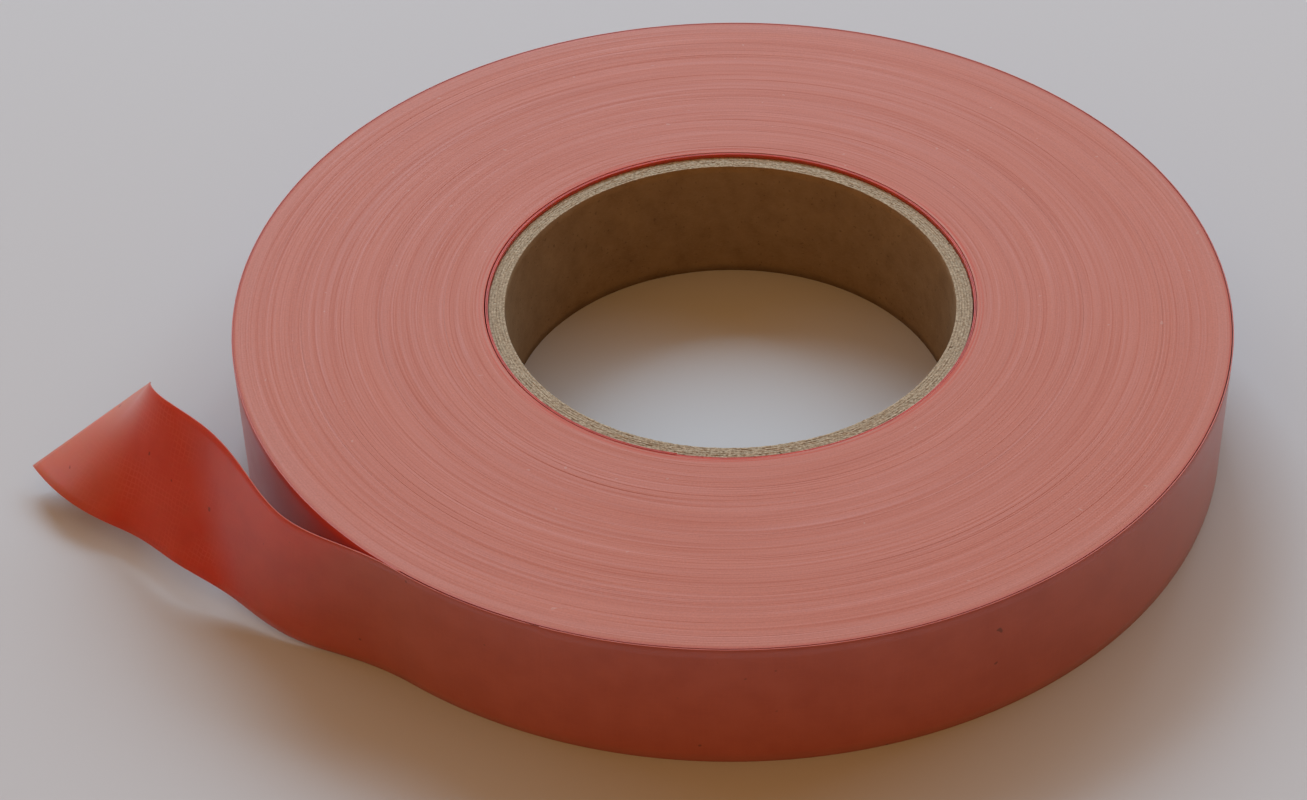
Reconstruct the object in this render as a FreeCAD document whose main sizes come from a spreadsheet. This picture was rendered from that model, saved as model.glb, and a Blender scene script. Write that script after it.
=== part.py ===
"""A roll of wide electrical tape on a plain paperboard core, lying flat with its end picked loose.

Millimetres, +Z up. The origin is on the roll's axis, level with the surface that the roll lies on,
which is the lower end of the core's bore.
The tape is one long strip: a plastic backing film with adhesive on its inner side. It starts loose on
the core, runs clockwise outwards (seen from above) through the tight wraps, and leaves the roll at the
peel line, where its last stretch stands free as the tail.
"""
import FreeCAD, Part
import Sketcher
import math
import os

Vector = FreeCAD.Vector

# Driving dimensions: name, value, meaning. Lengths in millimetres, angles in degrees.
SIZES = (
    ("roll_diameter", 168.0, "outside of the wound roll"),
    ("tape_width", 24.0, "width of the strip, and so the height of the roll as it lies"),
    ("film_thickness", 0.14, "backing film"),
    ("adhesive_thickness", 0.04, "adhesive on the film's inner side"),
    ("coat_line", 0.005, "clearance between the tail's film and its adhesive"),
    ("core_bore_diameter", 76.2, "inside of the core, the usual 3 inch"),
    ("core_recess", 0.6, "how far the core's upper end lies below the tape's face"),
    ("ply_count", 6, "paperboard plies in the core's wall"),
    ("ply_thickness", 0.44, "one paperboard ply"),
    ("glue_line", 0.02, "glue between two plies"),
    ("seam_gap", 0.1, "gap where a ply's two edges meet"),
    ("seam_tilt", 60.0, "angle of the seams from the core's axis"),
    ("seam_angle", 270.0, "where the innermost ply's seam crosses mid height"),
    ("seam_stagger", 100.0, "angle from one ply's seam to the next ply's"),
    ("winding_slack", 0.7, "room round the core in which the first wraps lie loose"),
    ("slack_clearance", 0.03, "clearance of the loose wraps from the core and from the tight wraps"),
    ("loose_gap", 0.05, "air between one loose turn and the next"),
    ("start_angle", 258.0, "where on the core the strip starts"),
    ("wrap_clearance", 0.02, "clearance between two neighbouring stretches of wraps"),
    ("peel_angle", 233.0, "where the strip leaves the roll"),
    ("hinge_clearance", 0.15, "from the peel line to the root of the tail"),
    ("bend_length", 15.0, "length of strip between two stations of the tail"),
    ("tail_length", 82.0, "length of the free end, from the peel line to its cut"),
)

# The tight wraps lie in stretches that tracked a little sideways from one another as they were wound:
# name, share of the wound depth at which the stretch ends, and how far it stands up.
WRAP_STRETCHES = (
    ("wraps_inner", 0.16, 0.10),
    ("wraps_lower_middle", 0.42, 0.04),
    ("wraps_upper_middle", 0.73, 0.08),
    ("wraps_outer", 1.0, 0.0),
)

# How the free end bends, one row per bend_length of strip from the peel line on, in degrees:
# turn: heading against the tangent at the peel line, + outwards;
# climb: slope of the strip's middle line, + up;
# lean: how far the upper edge falls back towards the roll's side.
TAIL_STATIONS = (
    # turn, climb, lean
    (0.0, 0.0, 0.0),
    (13.5, 2.5, 2.5),
    (-8.0, 10.5, 10.0),
    (-8.5, -1.0, 25.5),
    (-9.5, -10.0, 30.5),
    (-22.0, -19.5, 60.5),
    (-35.5, -27.0, 78.0),
)
TAIL_SECTIONS_PER_BEND = 4
STEPS_PER_SECTION = 16
SPIRAL_POINT_EVERY = 15.0
FULL_TURN = 360.0

doc = FreeCAD.newDocument("electrical_tape_roll")
sheet = doc.addObject("Spreadsheet::Sheet", "sizes")


def fill_sheet():
    """Write the driving dimensions into the sheet, each with its alias."""
    for row, (alias, value, meaning) in enumerate(SIZES, start=1):
        sheet.set(f"A{row}", alias)
        sheet.set(f"B{row}", str(value))
        sheet.set(f"C{row}", meaning)
        sheet.setAlias(f"B{row}", alias)
    doc.recompute()


def size(alias):
    """One driving dimension, as a number."""
    return float(sheet.get(alias))


fill_sheet()

# What follows from the driving dimensions. The strings are formulas for the document's objects.
TAPE = "(sizes.film_thickness + sizes.adhesive_thickness)"
PLY_PITCH = "(sizes.ply_thickness + sizes.glue_line)"
CORE_OUTSIDE = (f"(sizes.core_bore_diameter / 2 + sizes.ply_count * {PLY_PITCH}"
                " - sizes.glue_line)")
PACK_INSIDE = f"({CORE_OUTSIDE} + sizes.winding_slack)"
PACK_OUTSIDE = f"(sizes.roll_diameter / 2 - 2 * {TAPE} - 2 * sizes.wrap_clearance)"

roll_radius = size("roll_diameter") / 2
tape_width = size("tape_width")
film_thickness = size("film_thickness")
tape_thickness = film_thickness + size("adhesive_thickness")
ply_count = int(size("ply_count"))
core_outside = (size("core_bore_diameter") / 2
                + ply_count * (size("ply_thickness") + size("glue_line")) - size("glue_line"))
core_length = tape_width - size("core_recess")
peel_angle = size("peel_angle")


# ---------------------------------------------------------------- the core

def ply_cylinder(name, radius, length):
    """One upright cylinder on the roll's axis, standing on the surface that the roll lies on."""
    cylinder = doc.addObject("Part::Cylinder", name)
    cylinder.setExpression("Radius", radius)
    cylinder.setExpression("Height", length)
    return cylinder


def seam_cutter(name, angle):
    """A thin slab through one side of the core's wall, slanted from the axis: a ply's butt seam."""
    slab = doc.addObject("Part::Box", name)
    slab.setExpression("Length", f"2 * {CORE_OUTSIDE}")
    slab.setExpression("Width", "sizes.seam_gap")
    slab.setExpression("Height", "2 * sizes.tape_width / cos(sizes.seam_tilt)")
    doc.recompute()
    turn = FreeCAD.Rotation(Vector(0, 0, 1), angle)
    slant = FreeCAD.Rotation(Vector(1, 0, 0), size("seam_tilt"))
    rotation = turn.multiply(slant)
    middle = turn.multVec(Vector(core_outside, 0, 0)) + Vector(0, 0, core_length / 2)
    half_slab = Vector(slab.Length.Value, slab.Width.Value, slab.Height.Value) / 2
    slab.Placement = FreeCAD.Placement(middle - rotation.multVec(half_slab), rotation)
    return slab


def core_ply(number):
    """One ply: a thin tube of paperboard with a slanted butt seam. Number 0 is the bore's wall."""
    inside = f"sizes.core_bore_diameter / 2 + {number} * {PLY_PITCH}"
    length = "sizes.tape_width - sizes.core_recess"
    if number == 0:
        label = "core_liner_ply"
    elif number == ply_count - 1:
        label = "core_outer_ply"
    else:
        label = f"core_ply_{number + 1}"
    outer = ply_cylinder(f"{label}_outside", f"{inside} + sizes.ply_thickness", length)
    inner = ply_cylinder(f"{label}_inside", inside, length)
    tube = doc.addObject("Part::Cut", f"{label}_tube")
    tube.Base = outer
    tube.Tool = inner
    ply = doc.addObject("Part::Cut", label)
    ply.Base = tube
    ply.Tool = seam_cutter(f"{label}_seam", size("seam_angle") + number * size("seam_stagger"))
    ply.Label = label
    return ply


# ------------------------------------------------------- the wound tape

def wound_ring(label, inside, outside, rise):
    """A stretch of tight wraps: a ring turned from one rectangle. The arguments are formulas."""
    body = doc.addObject("PartDesign::Body", label)
    body.Label = label
    sketch = body.newObject("Sketcher::SketchObject", f"{label}_section")
    upright_plane = [plane for plane in body.Origin.OriginFeatures if plane.Role == "XZ_Plane"][0]
    sketch.AttachmentSupport = (upright_plane, [""])
    sketch.MapMode = "FlatFace"
    corners = (Vector(1, 0, 0), Vector(2, 0, 0), Vector(2, 1, 0), Vector(1, 1, 0))
    for side in range(4):
        sketch.addGeometry(Part.LineSegment(corners[side], corners[(side + 1) % 4]), False)
    for side in range(4):
        sketch.addConstraint(Sketcher.Constraint("Coincident", side, 2, (side + 1) % 4, 1))
    for side, direction in enumerate(("Horizontal", "Vertical", "Horizontal", "Vertical")):
        sketch.addConstraint(Sketcher.Constraint(direction, side))
    for name, kind, side, formula in (
        ("inside", "DistanceX", 3, inside),
        ("outside", "DistanceX", 1, outside),
        ("bottom", "DistanceY", 0, rise),
        ("top", "DistanceY", 2, f"{rise} + sizes.tape_width"),
    ):
        index = sketch.addConstraint(Sketcher.Constraint(kind, -1, 1, side, 1, 1.0))
        sketch.renameConstraint(index, name)
        sketch.setExpression(f"Constraints.{name}", formula)
    ring = body.newObject("PartDesign::Revolution", f"{label}_turned")
    ring.Profile = sketch
    ring.ReferenceAxis = (sketch, ["V_Axis"])
    ring.Angle = FULL_TURN
    return body


def tight_wraps():
    """The stretches of tight wraps, from the slack round the core out to the last full turn."""
    rings = []
    share_before = 0.0
    for label, share, rise in WRAP_STRETCHES:
        depth = f"({PACK_OUTSIDE} - {PACK_INSIDE})"
        gap = "" if share_before == 0.0 else " + sizes.wrap_clearance"
        inside = f"{PACK_INSIDE} + {share_before} * {depth}{gap}"
        outside = f"{PACK_INSIDE} + {share} * {depth}"
        rings.append(wound_ring(label, inside, outside, f"{rise}"))
        share_before = share
    return rings


def spiral_strip(label, first_angle, turns, first_inside, growth, sense):
    """A strip standing on edge along a spiral. Growth is its radius gained per turn, and sense is
    +1 for anticlockwise seen from above, -1 for clockwise."""
    count = round(turns * FULL_TURN / SPIRAL_POINT_EVERY)

    def edge(offset):
        points = []
        for step in range(count + 1):
            share = step / count * turns
            angle = math.radians(first_angle + sense * share * FULL_TURN)
            radius = first_inside + offset + growth * share
            points.append(Vector(radius * math.cos(angle), radius * math.sin(angle), 0))
        curve = Part.BSplineCurve()
        curve.interpolate(points)
        return curve.toShape(), points[0], points[-1]

    inner, inner_first, inner_last = edge(0.0)
    outer, outer_first, outer_last = edge(tape_thickness)
    first_end = Part.LineSegment(inner_first, outer_first).toShape()
    last_end = Part.LineSegment(outer_last, inner_last).toShape()
    section = Part.Face(Part.Wire(Part.__sortEdges__([inner, last_end, outer, first_end])))
    strip = doc.addObject("Part::Feature", label)
    strip.Label = label
    strip.Shape = section.extrude(Vector(0, 0, tape_width))
    return strip


def loose_wraps():
    """The strip's first turns, loose in the slack between the core and the tight wraps."""
    clearance = size("slack_clearance")
    growth = tape_thickness + size("loose_gap")
    turns = (size("winding_slack") - 2 * clearance - tape_thickness) / growth
    return spiral_strip("first_wraps", size("start_angle"), turns,
                        core_outside + clearance, growth, -1)


def last_turn():
    """The last full turn. At the peel line it lies on top of itself, so going back from there its
    radius falls by one thickness and a clearance in one turn."""
    return spiral_strip("outer_wrap", peel_angle, 1.0, roll_radius - tape_thickness,
                        -(tape_thickness + size("wrap_clearance")), +1)


# ------------------------------------------------------------- the tail

def station_value(column, along):
    """One of the tail's angles at a length along it: a smooth curve through the stations."""
    values = [row[column] for row in TAIL_STATIONS]
    values = [2 * values[0] - values[1]] + values + [2 * values[-1] - values[-2]]
    place = along / size("bend_length")
    index = min(int(place), len(TAIL_STATIONS) - 2)
    part = place - index
    before, start, end, after = values[index:index + 4]
    return 0.5 * (2 * start
                  + (end - before) * part
                  + (2 * before - 5 * start + 4 * end - after) * part ** 2
                  + (3 * start - before - 3 * end + after) * part ** 3)


def tail_axes(along):
    """Unit vectors of the tail at a length along it: forwards, across (up), and inwards."""
    tangent = peel_angle - 90
    heading = math.radians(tangent + station_value(0, along))
    climb = math.radians(station_value(1, along))
    lean = math.radians(station_value(2, along))
    forwards = Vector(math.cos(climb) * math.cos(heading),
                      math.cos(climb) * math.sin(heading), math.sin(climb))
    up = Vector(-math.sin(climb) * math.cos(heading),
                -math.sin(climb) * math.sin(heading), math.cos(climb))
    side = forwards.cross(up)
    across = up * math.cos(lean) + side * math.sin(lean)
    return forwards, across, forwards.cross(across)


def tail_sections():
    """Places along the outer face's middle line, each with its across and inwards vectors."""
    peel = math.radians(peel_angle)
    stand_off = roll_radius + size("wrap_clearance")
    middle = Vector(stand_off * math.cos(peel), stand_off * math.sin(peel), tape_width / 2)
    root = size("hinge_clearance")
    length = size("tail_length")
    count = (len(TAIL_STATIONS) - 1) * TAIL_SECTIONS_PER_BEND
    middle += tail_axes(root / 2)[0] * root
    along = root
    step = (length - root) / (count * STEPS_PER_SECTION)
    sections = [(middle, *tail_axes(along)[1:])]
    for _ in range(count):
        for _ in range(STEPS_PER_SECTION):
            middle = middle + tail_axes(along + step / 2)[0] * step
            along += step
        sections.append((middle, *tail_axes(min(along, length))[1:]))
    return sections


def tail_layer(label, sections, near, far):
    """One layer of the tail, between two depths inwards from the film's outer face."""
    half_width = tape_width / 2
    outlines = []
    for middle, across, inwards in sections:
        low = middle - across * half_width
        high = middle + across * half_width
        ring = [low + inwards * near, high + inwards * near,
                high + inwards * far, low + inwards * far]
        outlines.append(Part.makePolygon(ring + ring[:1]))
    layer = doc.addObject("Part::Feature", label)
    layer.Label = label
    layer.Shape = Part.makeLoft(outlines, True, False)
    return layer


# ------------------------------------------------------ build, check, write

def check(part_object):
    """Stop if a sub-part has no sound shape."""
    shape = part_object.Shape
    if shape.isNull() or not shape.isValid() or shape.Volume <= 0:
        raise RuntimeError(f"{part_object.Label} has no sound shape")


parts = [core_ply(number) for number in range(ply_count)]
parts.append(loose_wraps())
parts.extend(tight_wraps())
parts.append(last_turn())
tail = tail_sections()
parts.append(tail_layer("tail_film", tail, 0.0, film_thickness))
parts.append(tail_layer("tail_adhesive", tail, film_thickness + size("coat_line"), tape_thickness))
doc.recompute()

for item in doc.Objects:
    if "Invalid" in item.State or "Error" in item.State:
        raise RuntimeError(f"{item.Label} did not compute")
os.makedirs("parts", exist_ok=True)
for part_object in parts:
    check(part_object)
    part_object.Shape.exportStep(f"parts/{part_object.Label}.step")
    box = part_object.Shape.BoundBox
    print(f"{part_object.Label}: {len(part_object.Shape.Solids)} solid,"
          f" {part_object.Shape.Volume:.2f} mm3,"
          f" x {box.XMin:.2f} to {box.XMax:.2f}, y {box.YMin:.2f} to {box.YMax:.2f},"
          f" z {box.ZMin:.2f} to {box.ZMax:.2f}")
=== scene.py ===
"""Looks of a roll of wide red electrical tape on a paperboard core, its end picked loose.

Metres, in the CAD model's frame: the origin is on the roll's axis on the surface that it lies on, +Z up.
"""
import math

import bpy
import numpy as np
from mathutils import Matrix, Vector


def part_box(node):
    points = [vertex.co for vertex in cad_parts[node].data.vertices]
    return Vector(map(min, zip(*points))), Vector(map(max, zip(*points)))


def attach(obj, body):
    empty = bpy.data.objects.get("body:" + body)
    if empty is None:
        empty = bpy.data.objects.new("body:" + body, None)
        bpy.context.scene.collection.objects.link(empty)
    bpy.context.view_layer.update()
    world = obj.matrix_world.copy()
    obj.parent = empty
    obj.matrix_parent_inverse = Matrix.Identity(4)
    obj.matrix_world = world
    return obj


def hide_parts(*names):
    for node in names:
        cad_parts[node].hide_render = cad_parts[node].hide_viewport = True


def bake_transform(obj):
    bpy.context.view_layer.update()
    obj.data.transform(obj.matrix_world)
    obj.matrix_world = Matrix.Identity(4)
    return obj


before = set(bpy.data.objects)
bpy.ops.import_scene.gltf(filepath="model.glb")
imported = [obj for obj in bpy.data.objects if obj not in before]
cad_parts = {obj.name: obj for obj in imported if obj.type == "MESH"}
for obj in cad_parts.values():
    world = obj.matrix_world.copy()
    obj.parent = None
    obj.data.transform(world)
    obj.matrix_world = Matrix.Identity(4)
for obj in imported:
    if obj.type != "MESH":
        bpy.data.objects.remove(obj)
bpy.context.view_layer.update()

MM = 0.001

# Sizes of the strip and the roll, as in the CAD model.
ROLL_RADIUS = 84.0 * MM
TAPE_WIDTH = 24.0 * MM
FILM = 0.14 * MM
ADHESIVE = 0.04 * MM
COAT_LINE = 0.005 * MM
TAPE = FILM + ADHESIVE
WRAP_PITCH = TAPE + 0.02 * MM
PEEL_ANGLE = math.radians(233.0)

# The core.
CORE_INSIDE = 38.1 * MM
CORE_LENGTH = 23.4 * MM
PLY = 0.44 * MM
GLUE_LINE = 0.02 * MM
SEAM_GAP = 0.1 * MM
SEAM_TILT = math.radians(60.0)
SEAM_ANGLE = math.radians(270.0)
SEAM_STAGGER = math.radians(100.0)
PLY_NODES = ("core_liner_ply", "core_ply_2", "core_ply_3", "core_ply_4", "core_ply_5", "core_outer_ply")
CORE_OUTSIDE = CORE_INSIDE + len(PLY_NODES) * (PLY + GLUE_LINE) - GLUE_LINE

# The loose first wraps.
START_ANGLE = math.radians(258.0)
SLACK_CLEARANCE = 0.03 * MM
LOOSE_GAP = 0.05 * MM
LOOSE_TURNS = 2.0

# The tight wraps from the inside outwards: node, and the seed of its unevenness. Where two stretches
# meet, the one that stands out comes level with its neighbour over the last TRACK_TURNS turns.
WRAP_NODES = (("wraps_inner", 11), ("wraps_lower_middle", 23), ("wraps_upper_middle", 37),
              ("wraps_outer", 53))
TRACK_TURNS = 14

# How unevenly the turns' edges stand in from the ends of a stretch: waves that neighbouring turns share,
# waves of each turn alone, a wandering from turn to turn, and a few turns that stand deeper in.
SHARED_WAVE = 0.005 * MM
SHARED_FROM_WITHIN = 0.86
SHARED_NEW = 0.5
SINGLE_WAVE = 0.007 * MM
WANDER = 0.003 * MM
DEEP_TURN = 0.03 * MM
DEEP_SHARE = 0.06
MIDDLE_DEPTH = 0.03 * MM
MOST_DEPTH = 0.2 * MM
TURN_CHAMFER = 0.018 * MM
STRIP_CHAMFER = 0.02 * MM

# The core's ragged cut end: torn fibres, longer waves, its highest point and how far it is cut down.
CUT_FIBRES = 0.045 * MM
CUT_WAVES = 0.03 * MM
CUT_HIGHEST = 0.1 * MM
CUT_DOWN = 0.03 * MM

# How many sections a mesh has in one turn.
RING_SECTIONS = 288
PLY_SECTIONS = 900
WRAP_SECTIONS = 720
LOOSE_SECTIONS = 360

# The tail's bends, as in the CAD model: turn, climb and lean in degrees, one row per BEND of strip.
TAIL_STATIONS = (
    (0.0, 0.0, 0.0),
    (13.5, 2.5, 2.5),
    (-8.0, 10.5, 10.0),
    (-8.5, -1.0, 25.5),
    (-9.5, -10.0, 30.5),
    (-22.0, -19.5, 60.5),
    (-35.5, -27.0, 78.0),
)
BEND = 15.0 * MM
TAIL_LENGTH = 82.0 * MM
TAIL_STEP = 0.75 * MM
TAIL_LEAD_IN = math.radians(17.0)

# Where the tail's lead-in takes over from the last turn: how far the last turn reaches on under it and how
# much deeper it lies there, and how near to its start the lead-in has its second section.
SEAM_OVERLAP = math.radians(1.0)
SEAM_INSET = 0.002 * MM
SEAM_END = math.radians(0.02)

FULL_TURN = 2 * math.pi

# The film's face: its emboss and its shine.
EMBOSS_PITCH = 0.95 * MM
EMBOSS_SWAY = 1.3 * MM
FILM_SHINE = 0.5

# Where the film changes, as lengths of strip past the peel line from nothing to the full effect. Light
# comes through the free end. Its middle is stretched, starting on a slanted line, and its curled end has a
# painted pale sheen. The last turn gets painted red bounce light behind and beside the free end, and is
# duller where the free end has uncovered it.
LIT_THROUGH = (2 * MM, 35 * MM)
STRETCH_START = (26 * MM, 35 * MM)
STRETCH_SLANT = 0.85
STRETCH_END = (80 * MM, 64 * MM)
# The span of the curled end's painted pale sheen.
CURL_SHEEN_END = (62 * MM, 82 * MM)
# The span of painted red bounce light on the last turn, behind and beside the free end.
PAINTED_RED_BOUNCE = (-440 * MM, -462 * MM)
UNCOVERED_DULL = (-486 * MM, -510 * MM)

# Where the wound edges change, as radii in millimetres.
# A painted pale sheen band just inside the outer edge: where it fades in and where it fades out.
EDGE_SHEEN_START = (80.2, 81.6)
EDGE_SHEEN_END = (83.2, 82.6)
# Painted glow: the outermost turns go a saturated red, as light comes through the edge there.
OUTER_TURNS_GLOW = (83.1, 83.5)
# Painted glow: lines on the turns beside the core are a brighter, saturated red.
INNER_TURNS_GLOW = (43.0, 41.8)

# The camera: its place, the way it looks, how far it is turned round that, and its lens.
CAMERA_PLACE = (0.0, -0.39133, 0.33359)
CAMERA_HEADING = math.radians(91.961)
CAMERA_DOWN = math.radians(40.337)
CAMERA_ROLL = math.radians(1.611)
CAMERA_LENS = 81.354
CAMERA_SENSOR = 36.0

# The floor: the radii of its rings, its sides, how far it lies below the roll, and the radii in
# millimetres over which it goes dark in reflections.
FLOOR_RINGS = (0.02, 0.3, 1.0, 3.0)
FLOOR_SIDES = 128
FLOOR_DROP = 0.05 * MM
FLOOR_FAR = (170.0, 260.0)

# The window's panels: direction in degrees, width in metres, and power in watts.
WINDOW_PANELS = ((48, 1.8, 20.5), (77, 0.9, 15.0), (102, 1.0, 46.0), (140, 1.6, 9.4))
WINDOW_HEIGHT = 1.12
WINDOW_ELEVATION = math.radians(39)
WINDOW_DISTANCE = 2.6
WINDOW_COLOUR = (0.525, 0.76, 0.965)

# Where most of the room's warm fill comes from, and its strength from the far side and from there.
FILL_FROM = (-0.5, -0.87, 0.0)
FILL_STRENGTH = (0.60, 1.25)


# ---------------------------------------------------------------- meshes

def swept_mesh(name, sections, closed, smooth, kinds=None, strip_map=None):
    """A mesh swept through sections, an array of shape (sections, points round the section, 3).
    smooth and kinds hold one value per side of the section: whether it is shaded smooth, and its
    material slot. strip_map, of shape (sections, points, 2), becomes the UV map 'strip'."""
    count, around, _ = sections.shape
    rows = count if closed else count - 1
    row = np.arange(rows)[:, None]
    side = np.arange(around)[None, :]
    after = (row + 1) % count
    beside = (side + 1) % around
    quads = np.stack([row * around + side, row * around + beside,
                      after * around + beside, after * around + side], axis=-1).reshape(-1, 4)
    vertices = sections.reshape(-1, 3)
    triangles = np.concatenate([quads[:, [0, 1, 2]], quads[:, [0, 2, 3]]])
    inwards = signed_volume(vertices, triangles, closed, count, around) < 0
    if inwards:
        quads = quads[:, ::-1]
    faces = quads.tolist()
    if not closed:
        caps = [list(range(around))[::-1], list(range((count - 1) * around, count * around))]
        faces += [cap[::-1] if inwards else cap for cap in caps]
    mesh = bpy.data.meshes.new(name)
    mesh.from_pydata(vertices.tolist(), [], faces)
    per_side = np.tile(np.asarray(smooth, bool), rows)
    flags = np.concatenate([per_side, np.zeros(len(faces) - len(per_side), bool)])
    mesh.polygons.foreach_set("use_smooth", flags)
    if kinds is not None:
        slots = np.tile(np.asarray(kinds, np.int32), rows)
        slots = np.concatenate([slots, np.zeros(len(faces) - len(slots), np.int32)])
        mesh.polygons.foreach_set("material_index", slots)
    if strip_map is not None:
        layer = mesh.uv_layers.new(name="strip")
        corners = np.zeros(len(mesh.loops), np.int32)
        mesh.loops.foreach_get("vertex_index", corners)
        layer.data.foreach_set("uv", strip_map.reshape(-1, 2)[corners].astype(np.float32).ravel())
    mesh.update()
    mesh.validate()
    piece = bpy.data.objects.new(name, mesh)
    bpy.context.scene.collection.objects.link(piece)
    return piece


def signed_volume(vertices, triangles, closed, count, around):
    """Volume inside the triangles, negative if they face inwards. An open sweep's ends are closed by
    fans of triangles first."""
    if not closed:
        fan = [[0, k + 1, k] for k in range(1, around - 1)]
        base = (count - 1) * around
        fan += [[base, base + k, base + k + 1] for k in range(1, around - 1)]
        triangles = np.concatenate([triangles, np.array(fan)])
    a, b, c = (vertices[triangles[:, k]] for k in range(3))
    return float(np.einsum("ij,ij->i", a, np.cross(b, c)).sum()) / 6


def waves(rng, angles, count, orders):
    """count smooth periodic curves over the angles, with a spread of about 1, as (angles, count)."""
    total = np.zeros((len(angles), count))
    for order in orders:
        phase = rng.uniform(0, FULL_TURN, count)
        size = rng.normal(0, 1, count) / math.sqrt(len(orders))
        total += size[None, :] * np.cos(order * angles[:, None] + phase[None, :])
    return total


# --------------------------------------------------------------- the core

def core_ply(node, number):
    """One ply with ragged cut ends. Its sections stand along the slanted butt seam."""
    rng = np.random.default_rng(100 + number)
    inside = CORE_INSIDE + number * (PLY + GLUE_LINE)
    outside = inside + PLY
    across = np.linspace(0, 1, 5)
    heights = np.linspace(0, 1, 15)[1:-1]
    ring_r = np.concatenate([across, np.ones(len(heights)), across[::-1], np.zeros(len(heights))])
    ring_z = np.concatenate([np.zeros(len(across)), heights, np.ones(len(across)), heights[::-1]])
    mid_radius = (inside + outside) / 2
    gap = SEAM_GAP / math.cos(SEAM_TILT) / mid_radius
    turn = np.linspace(gap / 2, FULL_TURN - gap / 2, PLY_SECTIONS)
    seam = SEAM_ANGLE + number * SEAM_STAGGER
    slant = -math.tan(SEAM_TILT) / mid_radius * (ring_z - 0.5) * CORE_LENGTH
    angle = seam + turn[:, None] + slant[None, :]
    radius = inside + (outside - inside) * ring_r[None, :] + np.zeros_like(angle)
    height = CORE_LENGTH * ring_z[None, :] + np.zeros_like(angle)
    top = (ring_z == 1.0)[None, :]
    fibres = rng.normal(0, 1, angle.shape)
    fibres = 0.5 * fibres + 0.35 * np.roll(fibres, 1, axis=0) + 0.35 * np.roll(fibres, 1, axis=1)
    cut = CUT_FIBRES * fibres + CUT_WAVES * waves(rng, turn, len(ring_z), (7, 13, 22, 41))
    height += np.where(top, np.minimum(cut, CUT_HIGHEST) - CUT_DOWN, 0)
    points = np.stack([radius * np.cos(angle), radius * np.sin(angle), height], axis=-1)
    piece = swept_mesh(f"{node}_board", points, False, np.ones(len(ring_z), bool))
    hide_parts(node)
    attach(piece, "roll")
    return piece


# --------------------------------------------------------- the wound tape

def track_shift(node, turns, end, sense):
    """How far in from its own end each turn of a stretch stands, so that it comes level with the
    stretches inside and outside it. end 1 with sense 1 is the top, end 0 with sense -1 the bottom."""
    names = [name for name, _ in WRAP_NODES]
    place = names.index(node)
    steps = np.arange(turns)
    shift = np.zeros(turns)
    for step, distance in ((-1, steps), (1, turns - 1 - steps)):
        if 0 <= place + step < len(names):
            stand = sense * (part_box(node)[end].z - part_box(names[place + step])[end].z)
            shift = np.maximum(shift, max(0.0, stand) * np.clip(1 - distance / TRACK_TURNS, 0, 1))
    return shift


def wound_ring(node, seed):
    """A stretch of tight wraps: every turn's slit edges show on both ends, a little uneven."""
    rng = np.random.default_rng(seed)
    low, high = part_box(node)
    outside = high.x
    inside = min(v.co.xy.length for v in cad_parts[node].data.vertices)
    turns = round((outside - inside) / TAPE)
    edges = np.linspace(inside, outside, turns + 1)
    angles = np.linspace(0, FULL_TURN, RING_SECTIONS + 1)[:-1]
    radii = np.stack([edges[:-1] + TURN_CHAMFER, edges[1:] - TURN_CHAMFER], axis=1).ravel()
    radii[0] = inside
    radii[-1] = outside

    def end_heights():
        """How far each turn's edge stands in from the end, for (angles, turns)."""
        shared = waves(rng, angles, turns, (1, 2, 3))
        for k in range(1, turns):
            shared[:, k] = SHARED_FROM_WITHIN * shared[:, k - 1] + SHARED_NEW * shared[:, k]
        single = waves(rng, angles, turns, (1, 2, 3, 5, 8))
        level = np.cumsum(rng.normal(0, 1, turns))
        level -= np.linspace(level[0], level[-1], turns)
        depth = SHARED_WAVE * shared + SINGLE_WAVE * single + WANDER * level[None, :]
        deep = rng.random(turns) < DEEP_SHARE
        arc = np.clip(waves(rng, angles, turns, (1, 2, 4)) + 0.15, 0, 1)
        depth += np.where(deep[None, :], DEEP_TURN * arc, 0)
        return np.clip(depth + MIDDLE_DEPTH, 0, MOST_DEPTH)

    top = high.z - np.repeat(end_heights() + track_shift(node, turns, 1, 1), 2, axis=1)
    bottom = low.z + np.repeat(end_heights() + track_shift(node, turns, 0, -1), 2, axis=1)
    height = np.concatenate([bottom, top[:, ::-1]], axis=1)
    radius = np.concatenate([radii, radii[::-1]])[None, :] + np.zeros_like(height)
    points = np.stack([radius * np.cos(angles)[:, None], radius * np.sin(angles)[:, None], height], axis=-1)
    piece = swept_mesh(f"{node}_edges", points, True, np.zeros(height.shape[1], bool))
    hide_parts(node)
    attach(piece, "roll")
    return piece


def strip_section(rows, thickness, chamfer):
    """The strip's cross-section: outer face from the bottom up, top edge, inner face down, bottom edge.
    Returns the points' depths inwards, their heights as shares of the width, and the material slot of
    each side: 0 on the faces and 1 on the cut edges."""
    heights = np.linspace(0, 1, rows)
    edge = chamfer / TAPE_WIDTH
    outer = [(chamfer, 0.0)] + [(0.0, min(max(h, edge), 1 - edge)) for h in heights] + [(chamfer, 1.0)]
    inner = [(thickness - chamfer, 1.0)]
    inner += [(thickness, min(max(h, edge), 1 - edge)) for h in heights[::-1]]
    inner += [(thickness - chamfer, 0.0)]
    pairs = outer + inner
    depths = np.array([p[0] for p in pairs])
    levels = np.array([p[1] for p in pairs])
    on_edge = (levels == 0.0) | (levels == 1.0)
    kinds = (on_edge | np.roll(on_edge, -1)).astype(int)
    return depths, levels, kinds


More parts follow.
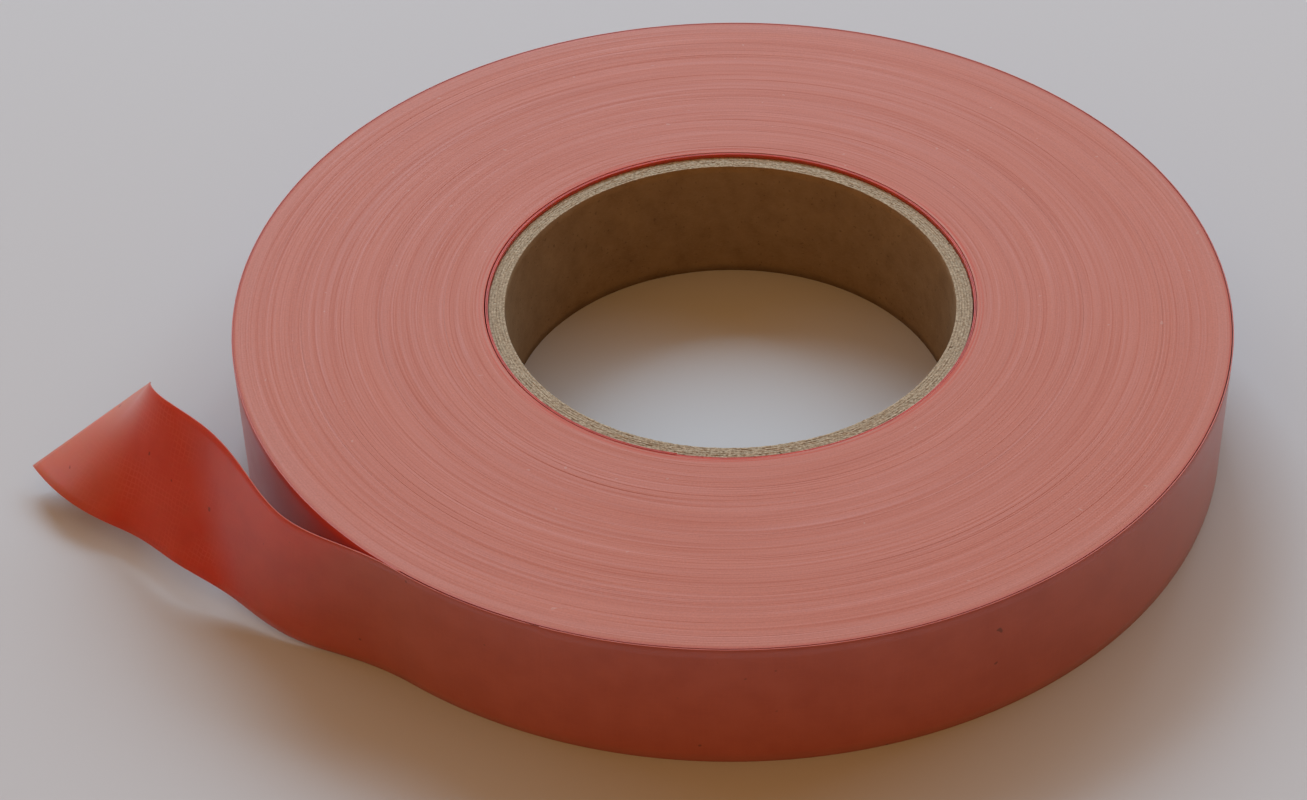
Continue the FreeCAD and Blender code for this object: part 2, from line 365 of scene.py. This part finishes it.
def spiral_points(first_angle, turns, first_outside, growth, sense, rows, per_turn):
    """Sections of a strip standing on edge along a spiral, with its strip map and side kinds. sense is
    +1 if it runs anticlockwise, and growth is what its outside radius gains in a turn."""
    depths, levels, kinds = strip_section(rows, TAPE, STRIP_CHAMFER)
    count = int(turns * per_turn) + 1
    share = np.linspace(0, turns, count)
    angle = first_angle + sense * share * FULL_TURN
    outside = first_outside + growth * share
    radius = outside[:, None] - depths[None, :]
    height = TAPE_WIDTH * levels[None, :] + np.zeros_like(radius)
    points = np.stack([radius * np.cos(angle)[:, None], radius * np.sin(angle)[:, None], height], axis=-1)
    along = (angle - PEEL_ANGLE) * -ROLL_RADIUS
    strip_map = np.stack([along[:, None] + np.zeros_like(radius), height], axis=-1)
    return points, strip_map, kinds


def outer_wrap():
    """The last full turn, up to where the tail's lead-in takes over from it. It reaches a little way
    under the lead-in, a hair deeper, so that no seam shows."""
    first_angle = PEEL_ANGLE + TAIL_LEAD_IN - SEAM_OVERLAP
    done = (first_angle - PEEL_ANGLE) / FULL_TURN
    first_outside = ROLL_RADIUS - WRAP_PITCH * done - SEAM_INSET
    points, strip_map, kinds = spiral_points(
        first_angle, 1.0 - done, first_outside, -WRAP_PITCH, +1, 13, WRAP_SECTIONS)
    piece = swept_mesh("outer_wrap_strip", points, False, np.ones(len(kinds), bool), kinds, strip_map)
    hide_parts("outer_wrap")
    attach(piece, "last_turn")
    return piece


def first_wraps():
    """The strip's first two turns, loose between the core and the tight wraps."""
    first_outside = CORE_OUTSIDE + SLACK_CLEARANCE + TAPE
    points, strip_map, kinds = spiral_points(
        START_ANGLE, LOOSE_TURNS, first_outside, TAPE + LOOSE_GAP, -1, 3, LOOSE_SECTIONS)
    piece = swept_mesh("first_wraps_strip", points, False, np.ones(len(kinds), bool), kinds, strip_map)
    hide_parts("first_wraps")
    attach(piece, "roll")
    return piece


# --------------------------------------------------------------- the tail

def station_value(column, along):
    """One of the tail's angles at a length along it: a smooth curve through the stations."""
    values = [row[column] for row in TAIL_STATIONS]
    values = [2 * values[0] - values[1]] + values + [2 * values[-1] - values[-2]]
    place = along / BEND
    index = min(int(place), len(TAIL_STATIONS) - 2)
    part = place - index
    before, start, end, after = values[index:index + 4]
    return 0.5 * (2 * start
                  + (end - before) * part
                  + (2 * before - 5 * start + 4 * end - after) * part ** 2
                  + (3 * start - before - 3 * end + after) * part ** 3)


def tail_axes(along):
    """Unit vectors of the tail at a length along it: forwards, across (up), and inwards."""
    heading = PEEL_ANGLE - math.pi / 2 + math.radians(station_value(0, along))
    climb = math.radians(station_value(1, along))
    lean = math.radians(station_value(2, along))
    forwards = Vector((math.cos(climb) * math.cos(heading),
                       math.cos(climb) * math.sin(heading), math.sin(climb)))
    up = Vector((-math.sin(climb) * math.cos(heading),
                 -math.sin(climb) * math.sin(heading), math.cos(climb)))
    side = forwards.cross(up)
    across = up * math.cos(lean) + side * math.sin(lean)
    return forwards, across, forwards.cross(across)


def peel_point():
    """Where the outer face's middle line leaves the roll."""
    return Vector((ROLL_RADIUS * math.cos(PEEL_ANGLE), ROLL_RADIUS * math.sin(PEEL_ANGLE), TAPE_WIDTH / 2))


def tail_line(lead_in):
    """Sections of the strip's outer face: (length past the peel line, middle, across, inwards). Those
    with a length below 0 are still on the roll, and cover the angle lead_in of the last turn."""
    line = []
    steps = round(lead_in * WRAP_SECTIONS / FULL_TURN)
    backs = [lead_in * (1 - k / steps) for k in range(steps)]
    if backs:
        backs.insert(1, lead_in - SEAM_END)
    for back in backs:
        angle = PEEL_ANGLE + back
        out = Vector((math.cos(angle), math.sin(angle), 0))
        middle = out * (ROLL_RADIUS - WRAP_PITCH * back / FULL_TURN) + Vector((0, 0, TAPE_WIDTH / 2))
        line.append((-back * ROLL_RADIUS, middle, Vector((0, 0, 1)), -out))
    middle = peel_point()
    count = round(TAIL_LENGTH / TAIL_STEP)
    fine = 8  # steps from one section to the next
    step = TAIL_LENGTH / (count * fine)
    line.append((0.0, middle.copy(), *tail_axes(0.0)[1:]))
    for k in range(count * fine):
        middle = middle + tail_axes((k + 0.5) * step)[0] * step
        if (k + 1) % fine == 0:
            along = min((k + 1) * step, TAIL_LENGTH)
            line.append((along, middle.copy(), *tail_axes(along)[1:]))
    return line


def tail_layer(name, node, near, far, lead_in, rows):
    """One layer of the strip's free end, between two depths inwards from the film's outer face."""
    depths, levels, kinds = strip_section(rows, far - near, min(STRIP_CHAMFER, (far - near) / 4))
    depths = depths + near
    line = tail_line(lead_in)
    if not lead_in:
        line = line[1:]
    points = np.zeros((len(line), len(depths), 3))
    strip_map = np.zeros((len(line), len(depths), 2))
    for k, (along, middle, across, inwards) in enumerate(line):
        offsets = (levels - 0.5) * TAPE_WIDTH
        points[k] = (np.array(middle)[None, :] + offsets[:, None] * np.array(across)[None, :]
                     + depths[:, None] * np.array(inwards)[None, :])
        strip_map[k, :, 0] = along
        strip_map[k, :, 1] = levels * TAPE_WIDTH
    piece = swept_mesh(name, points, False, np.ones(len(kinds), bool), kinds, strip_map)
    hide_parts(node)
    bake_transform(piece)
    return piece


# -------------------------------------------------------------- materials

class Nodes:
    """Builds the nodes of one new material or world."""

    def __init__(self, name, world=False):
        self.owner = (bpy.data.worlds if world else bpy.data.materials).new(name)
        self.owner.use_nodes = True
        self.tree = self.owner.node_tree
        self.tree.nodes.clear()
        self.out = self.tree.nodes.new("ShaderNodeOutputWorld" if world else "ShaderNodeOutputMaterial")

    def add(self, kind, inputs=None, **settings):
        """A node. inputs maps a socket's name or number to a value or to another node's output."""
        node = self.tree.nodes.new(kind)
        for key, value in settings.items():
            setattr(node, key, value)
        for key, value in (inputs or {}).items():
            if isinstance(value, bpy.types.NodeSocket):
                self.tree.links.new(value, node.inputs[key])
            else:
                node.inputs[key].default_value = value
        return node

    def math(self, operation, *values):
        return self.add("ShaderNodeMath", dict(enumerate(values)), operation=operation).outputs[0]

    def ramp(self, value, low, high, to_low=0.0, to_high=1.0):
        """value from low..high to to_low..to_high, held at the ends."""
        return self.add("ShaderNodeMapRange", {0: value, 1: low, 2: high, 3: to_low, 4: to_high}).outputs[0]

    def mix(self, factor, first, second, blend="MIX"):
        return self.add("ShaderNodeMix", {0: factor, 6: first, 7: second},
                        data_type="RGBA", blend_type=blend).outputs[2]

    def bump(self, height, strength, distance):
        return self.add("ShaderNodeBump", {"Height": height, "Strength": strength,
                                           "Distance": distance}).outputs[0]

    def noise(self, vector, scale, detail=2.0, rough=0.5):
        return self.add("ShaderNodeTexNoise", {"Vector": vector, "Scale": scale, "Detail": detail,
                                               "Roughness": rough}).outputs[0]

    def finish(self, shader):
        self.tree.links.new(shader, self.out.inputs["Surface"])
        return self.owner


def rgb(red, green, blue):
    return (red, green, blue, 1.0)


def polar(nodes):
    """The place on the roll, its radius in millimetres, and the two parts of its direction from the
    axis."""
    place = nodes.add("ShaderNodeTexCoord").outputs["Object"]
    parts = nodes.add("ShaderNodeSeparateXYZ", {0: place}).outputs
    square = nodes.math("ADD", nodes.math("MULTIPLY", parts[0], parts[0]),
                        nodes.math("MULTIPLY", parts[1], parts[1]))
    metres = nodes.math("SQRT", square)
    radius = nodes.math("MULTIPLY", metres, 1 / MM)
    east = nodes.math("DIVIDE", parts[0], metres)
    north = nodes.math("DIVIDE", parts[1], metres)
    return place, radius, east, north


def ring_vector(nodes, radius, east, north, per_mm, round_scale):
    """A vector for noise that changes by per_mm across the turns and by round_scale round them, so that
    it gives lines round the roll."""
    return nodes.add("ShaderNodeCombineXYZ", {
        0: nodes.math("MULTIPLY", radius, per_mm),
        1: nodes.math("MULTIPLY", east, round_scale),
        2: nodes.math("MULTIPLY", north, round_scale)}).outputs[0]


def edges_material():
    """Slit edges of the wound film: matte salmon, fine lines round the roll, painted sheen and red glow."""
    nodes = Nodes("tape_edges_matte")
    place, radius, east, north = polar(nodes)
    fine = nodes.noise(ring_vector(nodes, radius, east, north, 3.6, 1.2), 1.0, 2.0, 0.6)
    bands = nodes.noise(ring_vector(nodes, radius, east, north, 0.5, 0.8), 1.0, 2.0, 0.5)
    clouds = nodes.noise(place, 28.0, 3.0, 0.55)
    grain = nodes.noise(place, 3200.0, 2.0, 0.6)
    base = nodes.mix(nodes.ramp(bands, 0.35, 0.65), rgb(0.490, 0.148, 0.091), rgb(0.520, 0.163, 0.101))
    base = nodes.mix(nodes.ramp(clouds, 0.35, 0.7, 0.0, 0.5), base, rgb(0.515, 0.163, 0.106))
    dark = nodes.ramp(fine, 0.54, 0.70, 0.0, 0.38)
    base = nodes.mix(dark, base, rgb(0.390, 0.088, 0.054))
    pale = nodes.ramp(fine, 0.42, 0.28, 0.0, 0.26)
    base = nodes.mix(pale, base, rgb(0.60, 0.210, 0.150))
    speck = nodes.ramp(nodes.noise(place, 900.0, 0.0), 0.86, 0.90, 0.0, 0.4)
    base = nodes.mix(speck, base, rgb(0.55, 0.33, 0.27))
    # Painted highlight: a pale sheen band just inside the outer edge of the wound edges.
    painted_edge_sheen = nodes.math("MULTIPLY", nodes.ramp(radius, *EDGE_SHEEN_START),
                           nodes.ramp(radius, *EDGE_SHEEN_END))
    base = nodes.mix(nodes.math("MULTIPLY", painted_edge_sheen, 0.35), base, rgb(0.52, 0.200, 0.150))
    # Painted glow: the outermost turns go a saturated red, as light comes through the edge there.
    base = nodes.mix(nodes.ramp(radius, *OUTER_TURNS_GLOW, 0.0, 0.9), base, rgb(0.46, 0.090, 0.052))
    # Painted glow: lines on the turns beside the core are a brighter, saturated red.
    inner_glow_lines = nodes.math("MULTIPLY", nodes.ramp(radius, *INNER_TURNS_GLOW), nodes.ramp(fine, 0.46, 0.56))
    base = nodes.mix(nodes.math("MULTIPLY", inner_glow_lines, 0.7), base, rgb(0.56, 0.075, 0.038))
    grit = nodes.ramp(grain, 0.3, 0.7, 0.93, 1.06)
    grit_colour = nodes.add("ShaderNodeCombineXYZ", {0: grit, 1: grit, 2: grit}).outputs[0]
    base = nodes.mix(1.0, base, grit_colour, "MULTIPLY")
    height = nodes.math("ADD", nodes.math("MULTIPLY", fine, 0.6), nodes.math("MULTIPLY", grain, 0.25))
    bump = nodes.bump(height, 0.25, 0.06 * MM)
    shader = nodes.add("ShaderNodeBsdfPrincipled", {
        "Base Color": base, "Roughness": nodes.ramp(fine, 0.3, 0.7, 0.55, 0.72),
        "Normal": bump, "Specular IOR Level": 0.32}).outputs[0]
    return nodes.finish(shader)


def film_material(name, stretch):
    """The film's face: satin, with a faint square emboss and tiny specks. stretch says which one it is:
    'wound' for the last turn, 'free' for the tail or 'loose' for the first wraps. Light comes through
    the film where nothing lies behind it, and there it is painted a more saturated red as a glow. The free
    end is duller and more embossed in its stretched middle and has a painted pale sheen at its curled end.
    The last turn gets painted red bounce light behind and beside the free end, and is duller where that
    has uncovered it.
    The roughness stays at 0.28 or more, as a denoised picture shows a fine line where it crosses 0.27."""
    nodes = Nodes(name)
    strip = nodes.add("ShaderNodeUVMap", uv_map="strip").outputs[0]
    along, across = nodes.add("ShaderNodeSeparateXYZ", {0: strip}).outputs[:2]
    place = nodes.add("ShaderNodeTexCoord").outputs["Object"]

    def lines(coordinate, sway_scale):
        sway = nodes.math("MULTIPLY", nodes.noise(strip, sway_scale, 1.0), EMBOSS_SWAY)
        shifted = nodes.math("ADD", coordinate, sway)
        wave = nodes.math("SINE", nodes.math("MULTIPLY", shifted, FULL_TURN / EMBOSS_PITCH))
        return nodes.ramp(wave, 0.55, 1.0)

    both = nodes.math("MAXIMUM", lines(along, 240.0), lines(across, 260.0))
    grid = nodes.math("MULTIPLY", both, nodes.ramp(nodes.noise(strip, 170.0, 2.0), 0.38, 0.66))
    mottle = nodes.noise(place, 160.0, 3.0, 0.6)
    grain = nodes.noise(place, 2600.0, 2.0, 0.55)
    specks = nodes.ramp(nodes.noise(place, 700.0, 0.0), 0.15, 0.12, 0.0, 0.7)
    patches = nodes.ramp(mottle, 0.35, 0.65)

    def backed():
        return nodes.mix(patches, rgb(0.375, 0.074, 0.050), rgb(0.415, 0.090, 0.063))

    # Painted glow: where nothing lies behind the film it gets this more saturated red, as light comes through
    # it.
    def lit_through_red():
        return nodes.mix(patches, rgb(0.430, 0.052, 0.022), rgb(0.470, 0.064, 0.030))

    def embossed(colour, strength):
        return nodes.mix(nodes.math("MULTIPLY", grid, strength), colour, rgb(0.56, 0.120, 0.070))

    relief = grid
    shine = FILM_SHINE
    rough = nodes.ramp(mottle, 0.3, 0.7, 0.28, 0.32)
    if stretch == "free":
        through = nodes.ramp(along, *LIT_THROUGH)
        slanted = nodes.math("SUBTRACT", along, nodes.math("MULTIPLY", across, STRETCH_SLANT))
        stretched = nodes.math("MULTIPLY", nodes.ramp(slanted, *STRETCH_START),
                               nodes.ramp(along, *STRETCH_END))
        curl_sheen = nodes.ramp(along, *CURL_SHEEN_END)
        dull = nodes.math("MAXIMUM", stretched, nodes.math("MULTIPLY", curl_sheen, 0.8))
        base = embossed(nodes.mix(through, backed(), lit_through_red()), nodes.ramp(stretched, 0.0, 1.0, 0.10, 0.36))
        # Painted highlight: the curled end is mixed towards a pale salmon sheen.
        base = nodes.mix(nodes.math("MULTIPLY", curl_sheen, 0.75), base, rgb(0.52, 0.185, 0.125))
        relief = nodes.math("MULTIPLY", grid, nodes.ramp(stretched, 0.0, 1.0, 0.2, 1.0))
    elif stretch == "wound":
        through = 0.0
        dull = nodes.ramp(along, *UNCOVERED_DULL)
        # Painted red bounce light on the last turn, behind and beside the free end.
        base = nodes.mix(nodes.ramp(along, *PAINTED_RED_BOUNCE), embossed(backed(), 0.10), rgb(0.62, 0.062, 0.040))
    else:
        through = 1.0
        base = embossed(lit_through_red(), 0.10)
    if stretch != "loose":
        shine = nodes.ramp(dull, 0.0, 1.0, FILM_SHINE, 0.10)
        rough = nodes.math("ADD", rough, nodes.math("MULTIPLY", dull, 0.16))
    base = nodes.mix(specks, base, rgb(0.10, 0.02, 0.012))
    height = nodes.math("ADD", nodes.math("MULTIPLY", relief, 0.5), nodes.math("MULTIPLY", grain, 0.4))
    shader = nodes.add("ShaderNodeBsdfPrincipled", {
        "Base Color": base, "Roughness": rough, "Normal": nodes.bump(height, 0.1, 0.05 * MM),
        "IOR": 1.65, "Specular IOR Level": shine,
        "Sheen Weight": 0.12, "Sheen Roughness": 0.45, "Sheen Tint": rgb(1.0, 0.74, 0.74),
        "Subsurface Weight": through, "Subsurface Radius": (1.0, 0.14, 0.06),
        "Subsurface Scale": 0.8 * MM}).outputs[0]
    return nodes.finish(shader)


def rim_material(name, dim, bright):
    """A single turn's cut edge, which lets light through and looks more orange."""
    nodes = Nodes(name)
    _, radius, east, north = polar(nodes)
    patches = nodes.noise(ring_vector(nodes, radius, east, north, 1.0, 9.0), 1.0, 3.0, 0.6)
    base = nodes.mix(nodes.ramp(patches, 0.35, 0.65), dim, bright)
    shader = nodes.add("ShaderNodeBsdfPrincipled", {
        "Base Color": base, "Roughness": 0.5, "Specular IOR Level": 0.4}).outputs[0]
    return nodes.finish(shader)


def adhesive_material():
    """A thin clear tacky coat: it tints a little and shines unevenly."""
    nodes = Nodes("tape_adhesive_coat")
    place = nodes.add("ShaderNodeTexCoord").outputs["Object"]
    smear = nodes.noise(place, 420.0, 3.0, 0.6)
    bump = nodes.bump(smear, 0.5, 0.08 * MM)
    gloss = nodes.add("ShaderNodeBsdfGlossy", {
        "Color": rgb(0.9, 0.6, 0.55), "Roughness": nodes.ramp(smear, 0.3, 0.7, 0.16, 0.34),
        "Normal": bump}).outputs[0]
    clear = nodes.add("ShaderNodeBsdfTransparent", {"Color": rgb(0.96, 0.90, 0.88)}).outputs[0]
    facing = nodes.add("ShaderNodeLayerWeight", {"Blend": 0.5, "Normal": bump}).outputs["Facing"]
    weight = nodes.ramp(nodes.math("POWER", facing, 3.0), 0.0, 1.0, 0.03, 0.35)
    return nodes.finish(nodes.add("ShaderNodeMixShader", {0: weight, 1: clear, 2: gloss}).outputs[0])


def board_material():
    """Grey-brown recycled paperboard: fibres, flecks and a rough cut end."""
    nodes = Nodes("core_board_fibre")
    place, radius, east, north = polar(nodes)
    parts = nodes.add("ShaderNodeSeparateXYZ", {0: place}).outputs
    normal = nodes.add("ShaderNodeNewGeometry").outputs["True Normal"]
    facing = nodes.add("ShaderNodeSeparateXYZ", {0: normal}).outputs[2]
    cut = nodes.ramp(nodes.math("ABSOLUTE", facing), 0.45, 0.75)
    round_vector = nodes.add("ShaderNodeCombineXYZ", {
        0: nodes.math("MULTIPLY", east, 38.0), 1: nodes.math("MULTIPLY", north, 38.0),
        2: nodes.math("MULTIPLY", parts[2], 2600.0)}).outputs[0]
    fibres = nodes.noise(round_vector, 1.6, 4.0, 0.6)
    mottle = nodes.noise(place, 260.0, 4.0, 0.6)
    cloud = nodes.noise(place, 45.0, 2.0)
    flecks = nodes.ramp(nodes.noise(place, 1500.0, 1.0), 0.68, 0.76)
    wall = nodes.mix(nodes.ramp(mottle, 0.3, 0.7), rgb(0.225, 0.140, 0.070), rgb(0.31, 0.205, 0.108))
    wall = nodes.mix(nodes.ramp(fibres, 0.45, 0.75, 0.0, 0.4), wall, rgb(0.345, 0.235, 0.13))
    wall = nodes.mix(nodes.ramp(cloud, 0.3, 0.7, 0.0, 0.35), wall, rgb(0.23, 0.145, 0.074))
    wall = nodes.mix(nodes.math("MULTIPLY", flecks, 0.5), wall, rgb(0.10, 0.06, 0.035))
    speckle = nodes.noise(place, 2100.0, 5.0, 0.75)
    ends = nodes.mix(nodes.ramp(speckle, 0.36, 0.64), rgb(0.230, 0.163, 0.095), rgb(0.57, 0.455, 0.315))
    base = nodes.mix(cut, wall, ends)
    height = nodes.math("ADD", nodes.math("MULTIPLY", speckle, 0.7), nodes.math("MULTIPLY", fibres, 0.4))
    bump = nodes.bump(height, 0.6, 0.15 * MM)
    shader = nodes.add("ShaderNodeBsdfPrincipled", {
        "Base Color": base, "Roughness": 0.86, "Normal": bump, "Specular IOR Level": 0.25}).outputs[0]
    return nodes.finish(shader)


def floor_material():
    """Pale matte paper. Reflections see it as dark beyond the roll's surroundings."""
    nodes = Nodes("floor_paper")
    place, radius, _, _ = polar(nodes)
    tooth = nodes.noise(place, 900.0, 3.0, 0.6)
    bump = nodes.bump(tooth, 0.08, 0.1 * MM)
    reflected = nodes.add("ShaderNodeLightPath").outputs["Is Glossy Ray"]
    far = nodes.math("MULTIPLY", reflected, nodes.ramp(radius, *FLOOR_FAR))
    base = nodes.mix(far, rgb(0.545, 0.535, 0.53), rgb(0.10, 0.08, 0.07))
    shader = nodes.add("ShaderNodeBsdfPrincipled", {
        "Base Color": base, "Roughness": 0.8, "Normal": bump, "Specular IOR Level": 0.2}).outputs[0]
    return nodes.finish(shader)


def paint(piece, *materials):
    """Fills the piece's material slots in order."""
    for material in materials:
        piece.data.materials.append(material)


# ---------------------------------------------------------- the surroundings

def camera():
    """A long lens above and in front of the roll, turned a little off its axis."""
    data = bpy.data.cameras.new("camera")
    data.lens = CAMERA_LENS
    data.sensor_width = CAMERA_SENSOR
    data.clip_start = 0.01
    eye = bpy.data.objects.new("camera", data)
    level = Vector((math.cos(CAMERA_HEADING), math.sin(CAMERA_HEADING), 0.0))
    forwards = level * math.cos(CAMERA_DOWN) - Vector((0.0, 0.0, math.sin(CAMERA_DOWN)))
    upright = level * math.sin(CAMERA_DOWN) + Vector((0.0, 0.0, math.cos(CAMERA_DOWN)))
    up = Matrix.Rotation(CAMERA_ROLL, 3, forwards) @ upright
    turn = Matrix((forwards.cross(up), up, -forwards)).transposed()
    eye.matrix_world = Matrix.Translation(CAMERA_PLACE) @ turn.to_4x4()
    bpy.context.scene.collection.objects.link(eye)
    bpy.context.scene.camera = eye


def floor():
    """A round pale floor, made of rings."""
    angles = np.linspace(0, FULL_TURN, FLOOR_SIDES + 1)[:-1]
    rings = [np.stack([radius * np.cos(angles), radius * np.sin(angles), np.zeros(FLOOR_SIDES)], axis=-1)
             for radius in FLOOR_RINGS]
    vertices = [(0.0, 0.0, 0.0)] + np.concatenate(rings).tolist()
    faces = [(0, 1 + k, 1 + (k + 1) % FLOOR_SIDES) for k in range(FLOOR_SIDES)]
    for ring in range(len(FLOOR_RINGS) - 1):
        inner = 1 + ring * FLOOR_SIDES
        outer = inner + FLOOR_SIDES
        for k in range(FLOOR_SIDES):
            after = (k + 1) % FLOOR_SIDES
            faces.append((inner + k, outer + k, outer + after, inner + after))
    mesh = bpy.data.meshes.new("floor")
    mesh.from_pydata(vertices, [], faces)
    mesh.update()
    sheet = bpy.data.objects.new("floor", mesh)
    bpy.context.scene.collection.objects.link(sheet)
    sheet.location.z = -FLOOR_DROP
    paint(sheet, floor_material())


def window_light():
    """A soft window behind the roll, as a bright middle panel and weaker ones beside it on an arc."""
    for degrees, width, power in WINDOW_PANELS:
        data = bpy.data.lights.new("window", "AREA")
        data.shape = "RECTANGLE"
        data.size = width
        data.size_y = WINDOW_HEIGHT
        data.energy = power
        data.color = WINDOW_COLOUR
        lamp = bpy.data.objects.new("window", data)
        azimuth = math.radians(degrees)
        direction = Vector((math.cos(WINDOW_ELEVATION) * math.cos(azimuth),
                            math.cos(WINDOW_ELEVATION) * math.sin(azimuth), math.sin(WINDOW_ELEVATION)))
        lamp.location = direction * WINDOW_DISTANCE
        lamp.rotation_euler = direction.to_track_quat("Z", "Y").to_euler()
        bpy.context.scene.collection.objects.link(lamp)


def room_light():
    """The room's warm fill, stronger from one side. The camera and reflections see a dark grey instead."""
    nodes = Nodes("room", world=True)
    direction = nodes.add("ShaderNodeTexCoord").outputs["Generated"]
    towards = nodes.add("ShaderNodeVectorMath", {0: direction, 1: FILL_FROM},
                        operation="DOT_PRODUCT").outputs["Value"]
    strength = nodes.ramp(towards, -1.0, 1.0, *FILL_STRENGTH)
    fill = nodes.add("ShaderNodeBackground",
                     {"Color": rgb(0.50, 0.26, 0.10), "Strength": strength}).outputs[0]
    north = nodes.add("ShaderNodeSeparateXYZ", {0: direction}).outputs[1]
    shade = nodes.mix(nodes.ramp(north, -0.5, 0.6), rgb(0.10, 0.06, 0.03), rgb(0.12, 0.10, 0.09))
    seen = nodes.add("ShaderNodeBackground", {"Color": shade}).outputs[0]
    path = nodes.add("ShaderNodeLightPath").outputs
    either = nodes.math("MAXIMUM", path["Is Camera Ray"], path["Is Glossy Ray"])
    mixed = nodes.add("ShaderNodeMixShader", {0: either, 1: fill, 2: seen}).outputs[0]
    bpy.context.scene.world = nodes.finish(mixed)


camera()
floor()
window_light()
room_light()
bpy.context.scene.view_settings.view_transform = "Standard"

board = board_material()
edges = edges_material()
film = film_material("tape_film_satin", "wound")
free_film = film_material("tape_film_free", "free")
loose_film = film_material("tape_film_loose", "loose")
rim = rim_material("tape_film_rim", rgb(0.47, 0.085, 0.048), rgb(0.56, 0.120, 0.070))
# Painted shade: the loose first wraps' edges are a deeper, more saturated red, as they lie in the shaded gap
# by the core.
loose_rim_shade = rim_material("tape_loose_rim", rgb(0.42, 0.045, 0.016), rgb(0.62, 0.070, 0.028))
coat = adhesive_material()

for number, node in enumerate(PLY_NODES):
    paint(core_ply(node, number), board)
for node, seed in WRAP_NODES:
    paint(wound_ring(node, seed), edges)
paint(first_wraps(), loose_film, loose_rim_shade)
paint(outer_wrap(), film, rim)
tail_film = tail_layer("tail_film_strip", "tail_film", 0.0, FILM, TAIL_LEAD_IN, 17)
paint(tail_film, free_film, rim)
tail_coat = tail_layer("tail_adhesive_coat", "tail_adhesive", FILM + COAT_LINE, TAPE, 0.0, 9)
paint(tail_coat, coat, rim)
